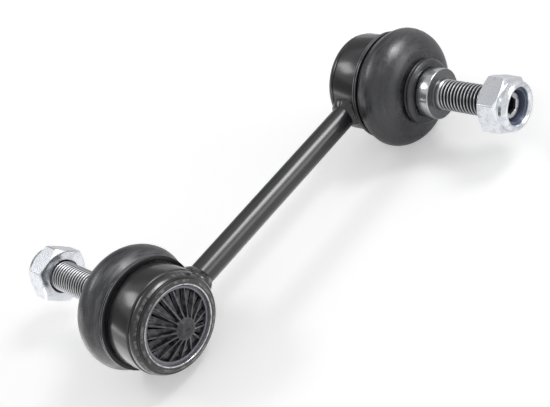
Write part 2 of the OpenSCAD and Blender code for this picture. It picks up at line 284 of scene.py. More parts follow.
class Value:
    """A value in a finish's nodes, so that shader maths reads as plain expressions."""

    def __init__(self, finish, socket):
        self.finish = finish
        self.socket = socket

    def maths(self, operation, *values):
        """A Math node on values and numbers."""
        return self.finish.node("ShaderNodeMath", {"operation": operation}, dict(enumerate(values)))

    def __add__(self, other):
        return self.maths("ADD", self, other)

    def __sub__(self, other):
        return self.maths("SUBTRACT", self, other)

    def __rsub__(self, other):
        return self.maths("SUBTRACT", other, self)

    def __mul__(self, other):
        return self.maths("MULTIPLY", self, other)

    def __pow__(self, other):
        return self.maths("POWER", self, other)

    def __abs__(self):
        return self.maths("ABSOLUTE", self)

    __radd__ = __add__
    __rmul__ = __mul__

    def sign(self):
        """-1 or 1, as the value is below or above 0."""
        return self.maths("SIGN", self)

    def most(self, other):
        """The larger of two values."""
        return self.maths("MAXIMUM", self, other)

    def rise(self, low, high):
        """0 below low, 1 above high, and a smooth rise between them."""
        return self.finish.node("ShaderNodeMapRange", {"interpolation_type": "SMOOTHSTEP"},
                                {"Value": self, "From Min": low, "From Max": high})

    def band(self, low, high, soft):
        """1 between low and high, falling to 0 over a soft edge on each side."""
        return self.rise(low - soft, low) * (1 - self.rise(high, high + soft))

    def other(self, output):
        """Another output of the same node."""
        return Value(self.finish, self.socket.node.outputs[output])


class Finish:
    """The nodes of a material or of the world."""

    def __init__(self, block):
        block.use_nodes = True
        self.block = block
        self.tree = block.node_tree
        self.tree.nodes.clear()

    def node(self, kind, settings=None, inputs=None, output=0):
        """Adds a node with its settings and the values or links of its sockets, and gives one output."""
        made = self.tree.nodes.new(kind)
        for name, setting in (settings or {}).items():
            setattr(made, name, setting)
        for name, value in (inputs or {}).items():
            if isinstance(value, Value):
                self.tree.links.new(value.socket, made.inputs[name])
            else:
                made.inputs[name].default_value = value
        return Value(self, made.outputs[output]) if made.outputs else None

    def place(self):
        """Place on the piece, in metres in the row frame."""
        return self.node("ShaderNodeTexCoord", output="Object")

    def noise(self, size, detail=2.0, roughness=0.5, stretch=None):
        """Noise whose features are about this size, in metres."""
        where = self.place()
        if stretch:
            where = self.node("ShaderNodeMapping", None, {"Vector": where, "Scale": stretch})
        return self.node("ShaderNodeTexNoise", None, {
            "Vector": where, "Scale": 1 / size, "Detail": detail, "Roughness": roughness})

    def parts(self):
        """The three parts of the place."""
        x = self.node("ShaderNodeSeparateXYZ", None, {"Vector": self.place()}, "X")
        return x, x.other("Y"), x.other("Z")

    def joint_radius(self):
        """Radius about the nearer joint's axis."""
        x, _, z = self.parts()
        return ((abs(x) - CENTRE) ** 2 + z ** 2) ** 0.5

    def joint_place(self):
        """Place along the nearer joint's axis, from the ball centre."""
        x, y, _ = self.parts()
        return y * x.sign() * -1

    def mix(self, share, first, second):
        """A colour between two, by a share from 0 to 1."""
        ends = {MIX_FIRST: first, MIX_SECOND: second}
        ends = {k: v if isinstance(v, Value) else (*v, 1) for k, v in ends.items()}
        return self.node("ShaderNodeMix", {"data_type": "RGBA"}, {MIX_SHARE: share, **ends}, MIX_RESULT)

    def bump(self, height, depth):
        """A normal from a height between 0 and 1, for a surface this rough in metres."""
        return self.node("ShaderNodeBump", None, {"Height": height, "Distance": depth, "Strength": 1.0})

    def surface(self, **inputs):
        """Ends the nodes in one shader and gives the material."""
        inputs = {name.replace("_", " "): value for name, value in inputs.items()}
        shader = self.node("ShaderNodeBsdfPrincipled", None, inputs)
        self.node("ShaderNodeOutputMaterial", None, {"Surface": shader})
        return self.block


def scaled(tint, share):
    """A colour made lighter or darker."""
    return tuple(min(1, c * share) for c in tint)


def finish_of(name, build):
    """The material of this name, built the first time that it is asked for."""
    found = bpy.data.materials.get(name)
    return found or build(Finish(bpy.data.materials.new(name)), bpy.context.scene.link_colours)


def black_paint(finish, tints):
    """Semi-gloss black paint with an orange-peel skin, uneven on the lip and bare on the lip's inner edge."""
    radius, place = finish.joint_radius(), finish.joint_place()
    lip = 1 - place.rise(-5.4 * MM, -4.9 * MM)
    dent = finish.noise(1.7 * MM, 3, 0.6)
    inner_ridge = radius.band(13.4 * MM, 13.8 * MM, 0.3 * MM)
    outer_ridge = radius.band(15.1 * MM, 15.4 * MM, 0.25 * MM)
    scuff = lip * (inner_ridge + outer_ridge) * finish.noise(2.4 * MM, 4, 0.6).rise(0.44, 0.6)
    cloud = finish.noise(9 * MM, 3)
    peel = finish.noise(0.9 * MM, 2)
    grain = finish.noise(0.22 * MM, 2)
    edge = (1 - radius.rise(12.6 * MM, 12.85 * MM)) * (1 - place.rise(-6.5 * MM, -6.2 * MM))
    bare = edge * (0.55 + 0.45 * finish.noise(1.6 * MM, 3).rise(0.3, 0.6))
    base = finish.mix(cloud, tints.paint, scaled(tints.paint, 1.7))
    base = finish.mix(scuff, base, SCUFFED_PAINT)
    return finish.surface(
        Base_Color=finish.mix(bare, base, BARE_STEEL),
        Roughness=0.36 + 0.12 * cloud + 0.06 * grain - 0.1 * bare - 0.16 * lip,
        Metallic=bare,
        Specular_IOR_Level=0.22,
        Coat_Weight=(0.8 + 0.2 * cloud) * (1 - bare),
        Coat_Roughness=0.19,
        Normal=finish.bump(peel * 0.7 + grain * 0.3 + lip * dent * 28, 0.004 * MM))


def boot_rubber(finish, tints):
    """Satin moulded rubber, mottled and streaked round the boot, with a dusty bloom in clouds and a lighter
    band near the clamp ring that is a painted highlight.
    """
    place = finish.joint_place()
    mottle = finish.noise(2.4 * MM, 4, 0.6)
    streak = finish.noise(7 * MM, 4, 0.65, (1, 7, 1))
    cloud = finish.noise(12 * MM, 2)
    grain = finish.noise(0.3 * MM, 3, 0.6)
    patch = (mottle * 0.5 + streak * 0.5).rise(0.35, 0.65)
    base = finish.mix(patch, tints.rubber, scaled(tints.rubber, 1.6))
    # Painted highlight: the boot is made lighter in a band round it near the clamp ring
    painted_highlight_near_clamp = place.band(7.2 * MM, 10.5 * MM, 3 * MM)
    # Lighter mix of the rubber: dusty bloom in clouds, and the painted highlight near the clamp ring
    bloom = (cloud.rise(0.4, 0.7) * 0.4 + painted_highlight_near_clamp * 0.6) * streak.rise(0.4, 0.62)
    return finish.surface(
        Base_Color=finish.mix(bloom * 0.8, base, RUBBER_BLOOM_AND_HIGHLIGHT),
        Roughness=0.21 + 0.16 * patch + 0.06 * grain,
        Specular_IOR_Level=0.7,
        Normal=finish.bump(grain * 0.15 + mottle * 0.4 + streak * 0.45, 0.1 * MM))


def cap_plastic(finish, tints):
    """Black moulded plastic, lighter along the ribs, partly as scuffs and partly as a painted highlight, with
    a light rim that is a painted highlight, and dull and mottled on the hub.
    """
    radius, place = finish.joint_radius(), finish.joint_place()
    flow = finish.noise(1.4 * MM, 3, 0.55)
    grain = finish.noise(0.3 * MM, 3, 0.6)
    hub = 1 - radius.rise(3.0 * MM, 3.3 * MM)
    over_cone = place - radius * 0.5
    rib = 1 - over_cone.rise(-12.55 * MM, -12.2 * MM)
    # Painted highlight: the cap's rim is made light grey
    rim = radius.rise(11.1 * MM, 11.3 * MM)
    # Lighter ribs: scuffs, and a painted highlight along the rib tops
    scuff = rib * (1 - 0.6 * hub) * (0.25 + 0.75 * flow.rise(0.35, 0.65))
    base = finish.mix(flow.rise(0.4, 0.68), scaled(tints.cap, 2.4), scaled(tints.cap, 15))
    base = finish.mix(hub * 0.8, base, scaled(tints.cap, 2))
    base = finish.mix(scuff, base, scaled(tints.cap, 16))
    return finish.surface(
        Base_Color=finish.mix(rim, base, scaled(tints.cap, 36)),
        Roughness=0.22 + 0.14 * flow + 0.05 * grain + 0.15 * hub,
        Specular_IOR_Level=0.42,
        Normal=finish.bump(flow * 0.7 + grain * 0.3, 0.03 * MM))


def ring_steel(finish, tints):
    """Blackened spring steel, drawn along its length, with a lighter rubbed line on each turn of the clamp
    rings that is also a painted highlight.
    """
    radius = finish.joint_radius()
    drawn = finish.noise(0.25 * MM, 3, 0.6)
    cloud = finish.noise(5 * MM, 2)
    # Partly rubbed metal and partly a painted highlight: the outermost crown of each turn is made lighter and
    # more metallic
    outermost = radius.rise(CLAMP_RADIUS - 0.05 * MM, CLAMP_RADIUS - 0.02 * MM)
    rubbed_and_highlight = outermost * (0.4 + 0.6 * cloud.rise(0.35, 0.6))
    base = finish.mix(cloud, tints.ring, scaled(tints.ring, 2.2))
    base = finish.mix(radius.rise(11 * MM, 15 * MM), scaled(tints.ring, 6), base)
    return finish.surface(
        Base_Color=finish.mix(rubbed_and_highlight, base, RUBBED_RING_AND_HIGHLIGHT),
        Roughness=0.3 + 0.12 * drawn,
        Metallic=0.3 + 0.6 * rubbed_and_highlight,
        Normal=finish.bump(drawn, 0.015 * MM))


def zinc_plate(finish, tints):
    """Bright zinc plating with a cool, cloudy bloom and fine tool marks."""
    cloud = finish.noise(2.2 * MM, 4, 0.62)
    fleck = finish.noise(0.5 * MM, 4, 0.7)
    grain = finish.noise(0.12 * MM, 2)
    dull = cloud.rise(0.46, 0.7) * 0.45 + fleck.rise(0.5, 0.7) * 0.4
    return finish.surface(
        Base_Color=finish.mix(dull, tints.zinc, DULL_ZINC),
        Roughness=0.12 + 0.2 * dull + 0.05 * grain,
        Metallic=0.95,
        Normal=finish.bump(fleck * 0.7 + grain * 0.3, 0.006 * MM))


def stud_steel(finish, tints):
    """Oiled steel: bright round the collar and dark on the faces; on the thread, light crests and near-black
    roots that are partly clean metal and oil and partly painted highlight and painted shade.
    """
    radius, place = finish.joint_radius(), finish.joint_place()
    cloud = finish.noise(2.0 * MM, 4, 0.6)
    grain = finish.noise(0.15 * MM, 3)
    side = radius.rise(8.0 * MM, 8.1 * MM)
    # Partly oil and clean metal, partly painted shade and painted highlight: the thread is near black in its
    # roots and flanks and light on its crests
    thread = place.rise(29.9 * MM, 30.2 * MM)
    crest = thread * radius.rise(4.62 * MM, 4.9 * MM)
    tip = place.rise(53.4 * MM, 53.8 * MM)
    dark = finish.mix(thread, scaled(tints.steel, 0.32), tints.thread)
    bright = side.most(crest).most(tip)
    clean = finish.mix(cloud * 0.5, tints.steel, scaled(tints.steel, 0.6))
    base = finish.mix(bright, dark, clean)
    return finish.surface(
        Base_Color=finish.mix(crest * 0.1, base, scaled(tints.steel, 1.5)),
        Roughness=0.13 + 0.1 * cloud + 0.05 * grain + 0.16 * thread,
        Metallic=0.55 + 0.45 * bright,
        Normal=finish.bump(cloud * 0.4 + grain * 0.6, 0.004 * MM))


def nylon(finish, tints):
    """Dark indigo nylon, faintly cloudy."""
    cloud = finish.noise(1.2 * MM, 3)
    return finish.surface(
        Base_Color=finish.mix(cloud, scaled(tints.nylon, 0.7), scaled(tints.nylon, 1.5)),
        Roughness=0.34 + 0.12 * cloud,
        Normal=finish.bump(cloud, 0.02 * MM))


def seat_plastic(finish, tints):
    """Pale bearing plastic with a greasy sheen."""
    grease = finish.noise(3 * MM, 3)
    return finish.surface(
        Base_Color=finish.mix(grease * 0.6, tints.seat, SEAT_GREASE),
        Roughness=0.22 + 0.2 * grease,
        Normal=finish.bump(grease, 0.03 * MM))


class STABILIZER_OT_rod(bpy.types.Operator):
    """Builds the rod and the welds that hold it to the housings."""

    bl_idname = "stabilizer_link.rod"
    bl_label = "Rod and Welds"
    bl_options = {"REGISTER", "UNDO"}

    def execute(self, context):
        sizes = context.scene.link_sizes
        paint = finish_of("paint_semi_gloss", black_paint)
        rod = turned([(sizes.rod_radius, CENTRE * (i / CURVE - 0.5) * 2, 0) for i in range(CURVE + 1)], False)
        reach = max(v.co.z for v in rod.verts)
        for point in rod.verts:
            share = point.co.z / reach
            end = CENTRE - math.sqrt(HOUSING_RADIUS ** 2 - point.co.x ** 2)
            point.co = (share * end, point.co.x, point.co.y)
        bmesh.ops.holes_fill(rod, edges=[e for e in rod.edges if e.is_boundary])
        settle(rod)
        piece = placed(rod, "rod_bar")
        dress(piece, paint, "black_paint", "link_rod")
        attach(piece, "link")
        for end in ENDS:
            piece = placed(self.weld(sizes), end + "_weld_bead", end)
            dress(piece, paint, "black_paint", end + "_weld")
            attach(piece, "link")
        return {"FINISHED"}

    def weld(self, sizes):
        """Bead round the rod's end, rippled, with its foot on the housing."""
        rod, reach, rise = sizes.rod_radius, sizes.weld_length, sizes.weld_height
        bore, foot = rod - 0.1 * MM, -0.3 * MM
        bm = turned([
            (bore, foot, 0), (bore, reach, 0), (rod + 0.12 * MM, reach, 0.1 * MM),
            (rod + 0.75 * rise, 0.55 * reach, 0.6 * MM), (rod + rise, 0.12 * reach, 0.1 * MM),
            (rod + rise, foot, 0)], steps=2 * TURN)
        for point in bm.verts:
            angle = math.atan2(point.co.y, point.co.x)
            radius = math.hypot(point.co.x, point.co.y)
            fade = max(0, min(1, (radius - rod) / (0.4 * rise)))
            waves = math.sin(9 * angle) + 0.6 * math.sin(17 * angle + 1)
            radius += sizes.weld_ripple * fade * (waves - 0.8)
            x, y = radius * math.cos(angle), radius * math.sin(angle)
            point.co = (-math.sqrt(HOUSING_RADIUS ** 2 - x ** 2) - point.co.z, x, y)
        settle(bm)
        return bm


class STABILIZER_OT_housings(bpy.types.Operator):
    """Builds the housings, with their rolled lips, and the clamp rings of the boots."""

    bl_idname = "stabilizer_link.housings"
    bl_label = "Housings and Clamps"
    bl_options = {"REGISTER", "UNDO"}

    def execute(self, context):
        sizes = context.scene.link_sizes
        for end in ENDS:
            piece = placed(turned(self.housing(sizes)), end + "_housing_shell", end)
            dress(piece, finish_of("paint_semi_gloss", black_paint), "black_paint", end + "_housing")
            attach(piece, "link")
            piece = placed(turned(self.clamp()), end + "_clamp_band", end)
            dress(piece, finish_of("steel_blackened", ring_steel), "ring_steel", end + "_boot_clamp")
            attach(piece, "link")
        return {"FINISHED"}

    def housing(self, sizes):
        """Corners of the housing, from the lip's inner edge round the outside and back through the bore."""
        outside, lip, roll, shoulder = HOUSING_RADIUS, sizes.lip_radius, sizes.lip_round, sizes.shoulder
        lip_front, lip_outside = HOUSING_BACK + 1.4 * MM, outside - 0.3 * MM
        crease, crease_radius, crease_round = HOUSING_BACK + roll, outside - sizes.crease, 0.05 * MM
        foot_groove, foot_edge, edge = outside - 2.3 * MM, outside - 1.7 * MM, HOUSING_MOUTH - 0.7 * MM
        mouth, throat, bore, bore_front = 10.48 * MM, 8.15 * MM, outside - 3.2 * MM, shoulder - 0.6 * MM
        rolled = (lip_outside - roll, crease)
        line = math.degrees(math.acos((sizes.lip_line - rolled[0]) / roll))
        pressed = roll - sizes.lip_groove
        return [
            (lip, lip_front, 0), (lip, HOUSING_BACK, 0.22 * MM),
            *bow(rolled, roll, roll, -88, -line - 9, SHORT),
            *bow(rolled, pressed, pressed, -line - 3, -line + 3, 3),
            *bow(rolled, roll, roll, -line + 9, -8, SHORT),
            (lip_outside, crease + 0.05 * MM, crease_round), (crease_radius, crease + 0.2 * MM, crease_round),
            (crease_radius, crease + 0.35 * MM, crease_round), (outside, crease + 0.6 * MM, 0.3 * MM),
            (outside, shoulder, 0.35 * MM), (foot_groove, shoulder, 0.1 * MM), (foot_groove, edge, 0.1 * MM),
            (foot_edge, edge, 0.1 * MM), (foot_edge, HOUSING_MOUTH, 0.4 * MM),
            (mouth, HOUSING_MOUTH, 0.2 * MM), (throat, bore_front, 0), (bore, bore_front, 0),
            (bore, lip_front, 0)]

    def clamp(self):
        """Corners of the clamp ring, whose outside is rounded like two turns of wire."""
        inside, half = CLAMP_RADIUS - 1.4 * MM, (CLAMP_FRONT - CLAMP_BACK) / 4
        turns = [bow((CLAMP_RADIUS - half, place), half, half, -80, 80, 10)
                 for place in (CLAMP_BACK + half, CLAMP_FRONT - half)]
        return [(inside, CLAMP_BACK, 0.1 * MM), *turns[0], *turns[1], (inside, CLAMP_FRONT, 0.1 * MM)]


class STABILIZER_OT_end_caps(bpy.types.Operator):
    """Builds the ribbed end caps behind the balls."""

    bl_idname = "stabilizer_link.end_caps"
    bl_label = "End Caps"
    bl_options = {"REGISTER", "UNDO"}

    def execute(self, context):
        sizes = context.scene.link_sizes
        for end in ENDS:
            piece = placed(self.cap(sizes), end + "_cap_ribbed", end)
            dress(piece, finish_of("plastic_gloss", cap_plastic), "cap_plastic", end + "_end_cap")
            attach(piece, "link")
        return {"FINISHED"}

    def cap(self, sizes):
        """Cone with a pocket sunk between each two ribs, a rim round it and a hub with a dimple on top."""
        dome, hub_round, slack, turn = 9.7 * MM, 1.8 * MM, 0.2 * MM, math.radians(3)
        boss, rim, hub = sizes.lip_radius - 0.5 * MM, sizes.lip_radius - 1.0 * MM, sizes.hub_radius
        flange, boss_top = CAP_FRONT - 1.5 * MM, HOUSING_BACK + 1.0 * MM
        foot, crest = boss_top + 0.05 * MM, CAP_HUB + 1.05 * MM
        hub_edge = crest - 0.1 * MM
        under = bow((0, 0), dome, dome, -90, math.degrees(math.asin(CAP_FRONT / dome)))
        bm = turned([
            *under, (CAP_RADIUS, CAP_FRONT, 0.1 * MM), (CAP_RADIUS, flange, 0.1 * MM), (boss, flange, 0),
            (boss, boss_top, 0.2 * MM), (rim, boss_top, 0.1 * MM), (rim, foot, 0), (hub, crest, 0),
            *bow((hub - hub_round, hub_edge), hub_round, hub_edge - CAP_HUB, 0, -90, SHORT),
            (1.0 * MM, CAP_HUB, 0.15 * MM), (0.5 * MM, CAP_HUB + 0.4 * MM, 0), (0, CAP_HUB + 0.5 * MM, 0)],
            False, 6 * sizes.ribs)
        cone = [f for f in bm.faces if max(v.co.xy.length for v in f.verts) > rim - slack
                and min(v.co.xy.length for v in f.verts) < hub + slack
                and f.calc_center_median().z < boss_top]
        shallow, deep = 0.8 * MM, sizes.pocket_depth
        for i in range(sizes.ribs):
            pocket = [f for f in cone if self.sector(f, math.tau / sizes.ribs) == i]
            self.inset(bm, pocket, sizes.rib_width / 2)
            for wall, share in ((0.12 * MM, 0.75), (0.16 * MM, 1)):
                self.inset(bm, pocket, wall)
                for point in {v for f in pocket for v in f.verts}:
                    out = (point.co.xy.length - hub) / (rim - hub)
                    sunk = share * (deep + (shallow - deep) * out)
                    point.co.z = crest + (foot - crest) * out + sunk
        bmesh.ops.rotate(bm, verts=bm.verts, cent=(0, 0, 0), matrix=Matrix.Rotation(turn, 3, "Z"))
        settle(bm)
        return bm

    def inset(self, bm, faces, width):
        """Draws the outline of a patch of faces inwards."""
        bmesh.ops.inset_region(bm, faces=faces, thickness=width, use_boundary=True, use_even_offset=True)

    def sector(self, face, step):
        """Number of the pocket that a face of the cone lies in."""
        middle = face.calc_center_median()
        return int(math.atan2(middle.y, middle.x) % math.tau / step)


class STABILIZER_OT_boots(bpy.types.Operator):
    """Builds the rubber boots, each in two halves, and the rings in their necks."""

    bl_idname = "stabilizer_link.boots"
    bl_label = "Boots and Neck Rings"
    bl_options = {"REGISTER", "UNDO"}

    def execute(self, context):
        sizes = context.scene.link_sizes
        rubber = finish_of("rubber_satin", boot_rubber)
        foot, neck = self.halves(sizes)
        seam, stiff = self.seam(sizes), 0.5 * MM
        bends = (CLAMP_FRONT, seam, seam + stiff, sizes.neck - stiff)
        for end in ENDS:
            along = [end_place(end) @ Vector((0, 0, place)) for place in bends]
            piece = placed(turned(foot), end + "_boot_foot", end)
            dress(piece, rubber, "boot_rubber", end + "_dust_boot")
            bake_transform(piece)
            piece = placed(turned(neck), end + "_boot_shoulder", end)
            dress(piece, rubber, "boot_rubber", end + "_dust_boot")
            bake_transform(piece)
            piece = placed(self.wire(), end + "_neck_wire", end)
            dress(piece, finish_of("steel_blackened", ring_steel), "ring_steel", end + "_neck_ring")
            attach(piece, end + "_boot_neck")
        return {"FINISHED"}

    def seam(self, sizes):
        """Place of the ring where the two halves meet."""
        return sizes.belly + 2.2 * MM

    def halves(self, sizes):
        """Corners of the foot half and of the neck half."""
        wall, belly, neck, bead = sizes.boot_wall, sizes.belly, sizes.neck, sizes.bead_radius
        foot, foot_outside, foot_top = HOUSING_RADIUS - 2.2 * MM, HOUSING_RADIUS - 0.8 * MM, 7.6 * MM
        groove, groove_back = HOUSING_RADIUS + 0.1 * MM, CLAMP_BACK - 0.1 * MM
        lip, start = CLAMP_RADIUS - 0.5 * MM, CLAMP_FRONT + 0.4 * MM
        crease, bead_back, bore, skin_end = bead - 1.2 * MM, neck + 1.2 * MM, bead - 3.2 * MM, neck - wall
        over, rise = BOOT_RADIUS - bead, neck - belly
        in_over, in_rise = BOOT_RADIUS - wall - bore, skin_end - belly
        turn, in_turn = (math.degrees(math.asin((self.seam(sizes) - belly) / r)) for r in (rise, in_rise))

        def side(skin, begin):
            """Corners of the side below the belly, at a depth in the wall."""
            places = [begin + (belly - begin) * i / CURVE for i in range(CURVE)]
            swell = [math.sin(math.pi / 2 * (p - start) / (belly - start)) for p in places]
            return [(lip - skin + (BOOT_RADIUS - lip) * s, p, 0) for s, p in zip(swell, places)]

        outer, inner = side(0, start), side(wall, foot_top)
        foot_half = [
            (foot, BOOT_BACK, 0), (foot_outside, BOOT_BACK, 0.1 * MM), (foot_outside, groove_back, 0),
            (groove, groove_back, 0), (groove, start, 0), (outer[0][0], start, 0.25 * MM), *outer[1:],
            *bow((bead, belly), over, rise, 0, turn, SHORT),
            *bow((bore, belly), in_over, in_rise, in_turn, 0, SHORT), *inner[::-1], (foot, foot_top, 0)]
        neck_half = [
            *bow((bead, belly), over, rise, turn, 89, 2 * CURVE), (crease, neck + 0.05 * MM, 0.1 * MM),
            (crease, bead_back, 0.1 * MM), (bead, bead_back, 0.25 * MM),
            (bead, BOOT_FRONT - 0.7 * MM, 0.3 * MM), (bead - 0.9 * MM, BOOT_FRONT, 0.3 * MM),
            (bore, BOOT_FRONT, 0.2 * MM), (bore, neck - 0.3 * MM, 0.1 * MM), (bore + 2 * MM, skin_end, 0),
            *bow((bore, belly), in_over, in_rise, 75, in_turn)]
        return foot_half, neck_half

    def wire(self):
        """Round wire laid in the neck's groove."""
        bm = bmesh.new()
        thick = (WIRE_FRONT - WIRE_BACK) / 2
        bmesh.ops.create_circle(bm, segments=16, radius=thick)
        bmesh.ops.rotate(bm, verts=bm.verts, cent=(0, 0, 0), matrix=Matrix.Rotation(math.pi / 2, 3, "X"))
        bmesh.ops.translate(bm, verts=bm.verts, vec=(WIRE_RADIUS - thick, 0, WIRE_BACK + thick))
        whole_turn(bm)
        return bm


class STABILIZER_OT_studs(bpy.types.Operator):
    """Builds the ball studs, with a real thread and a hexagon socket in the end."""

    bl_idname = "stabilizer_link.studs"
    bl_label = "Ball Studs"
    bl_options = {"REGISTER", "UNDO"}

    # Plain stretch between the pilot and the thread
    lead = 0.05 * MM
    # Depth of a standard thread, in pitches
    depth = 0.6134

    def execute(self, context):
        sizes = context.scene.link_sizes
        for end in ENDS:
            piece = placed(self.stud(sizes), end + "_stud_turned", end)
            dress(piece, finish_of("steel_oiled", stud_steel), "stud_steel", end + "_ball_stud")
            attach(piece, end + "_stud")
        return {"FINISHED"}

    def stud(self, sizes):
        """Ball, neck, land, collar and pilot, joined to the thread and closed by the socket."""
        bm = turned(self.body(sizes), False)
        thread = bmesh.new()
        self.thread(thread, sizes)
        joined = bpy.data.meshes.new("thread")
        thread.to_mesh(joined)
        thread.free()
        bm.from_mesh(joined)
        bpy.data.meshes.remove(joined)
        bmesh.ops.bridge_loops(bm, edges=[
            edge for gap in (0, self.lead) for edge in rim_edges(bm, sizes.pilot_end - gap)])
        self.socket(bm, sizes)
        settle(bm)
        return bm

    def body(self, sizes):
        """Corners from the back of the ball to the end of the pilot."""
        ball, neck, land, pilot = -BALL_BACK, sizes.neck_radius, sizes.land_radius, sizes.pilot_radius
        back, face, chamfer = sizes.collar_back, sizes.collar_face, 0.25 * MM
        neck_end, land_start = 12.8 * MM, 16.0 * MM
        round_end = math.degrees(math.acos(neck / ball))
        return [
            *bow((0, 0), ball, ball, -90, round_end, 2 * CURVE), (neck, neck_end, 0.8 * MM),
            (land, land_start, 0.8 * MM), (land, back, 0.2 * MM), (COLLAR_RADIUS, back, 0.4 * MM),
            (COLLAR_RADIUS, face - chamfer, 0.06 * MM), (COLLAR_RADIUS - chamfer, face, 0.06 * MM),
            (pilot, face, 0.25 * MM), (pilot, sizes.pilot_end - 0.3 * MM, 0.1 * MM),
            (sizes.thread_radius, sizes.pilot_end - self.lead, 0)]

    def thread(self, bm, sizes):
        """Screw thread that runs out at the pilot and is chamfered at the stud's end."""
        pitch, crest, start, end = sizes.pitch, sizes.thread_radius, sizes.pilot_end, STUD_END
        chamfer, run_out, steps = 1.0 * MM, 0.8, TURN // 2
        root, flank = crest - self.depth * pitch, crest - 0.06 * MM
        turns = math.ceil((end - start) / pitch) + 2
        spots = [(root, 0), (root, 0.22), (flank, 0.55), (crest, 0.6), (crest, 0.68), (flank, 0.73),
                 (root, 1)]
        points = [bm.verts.new((radius, 0, start + (share - 1) * pitch)) for radius, share in spots]
        edges = [bm.edges.new(pair) for pair in zip(points, points[1:])]
        bmesh.ops.spin(bm, geom=points + edges, cent=(0, 0, 0), axis=(0, 0, 1), dvec=(0, 0, pitch / steps),
                       angle=math.tau, steps=steps)
        made = 1
        while made < turns:
            copied = bmesh.ops.duplicate(bm, geom=bm.verts[:] + bm.edges[:] + bm.faces[:])["geom"]
            bmesh.ops.translate(bm, verts=[g for g in copied if isinstance(g, bmesh.types.BMVert)],
                                vec=(0, 0, made * pitch))
            made *= 2
        bmesh.ops.remove_doubles(bm, verts=bm.verts, dist=SAME)
        for place, way in ((start, -1), (end, 1)):
            bmesh.ops.bisect_plane(bm, geom=bm.verts[:] + bm.edges[:] + bm.faces[:], dist=SAME,
                                   plane_co=(0, 0, place), plane_no=(0, 0, way), clear_outer=True)
        for point in bm.verts:
            radius = point.co.xy.length
            least = crest - (point.co.z - start) * run_out
            most = crest - max(0, point.co.z - end + chamfer)
            point.co.xy *= min(max(radius, least), most) / radius

    def socket(self, bm, sizes):
        """End face of the stud and the hexagon socket in it."""
        width, mouth = sizes.socket_width, 3.1 * MM
        top, floor, tip = STUD_END - 0.25 * MM, STUD_END - 5.2 * MM, STUD_END - 6 * MM
        ring = rim_edges(bm, STUD_END)
        ring = pull_ring(bm, ring, lambda angle: (mouth, STUD_END))
        ring = pull_ring(bm, ring, lambda angle: (hexagon(width, angle), top))
        ring = pull_ring(bm, ring, lambda angle: (hexagon(width, angle), floor))
        pull_ring(bm, ring, lambda angle: (0, tip))


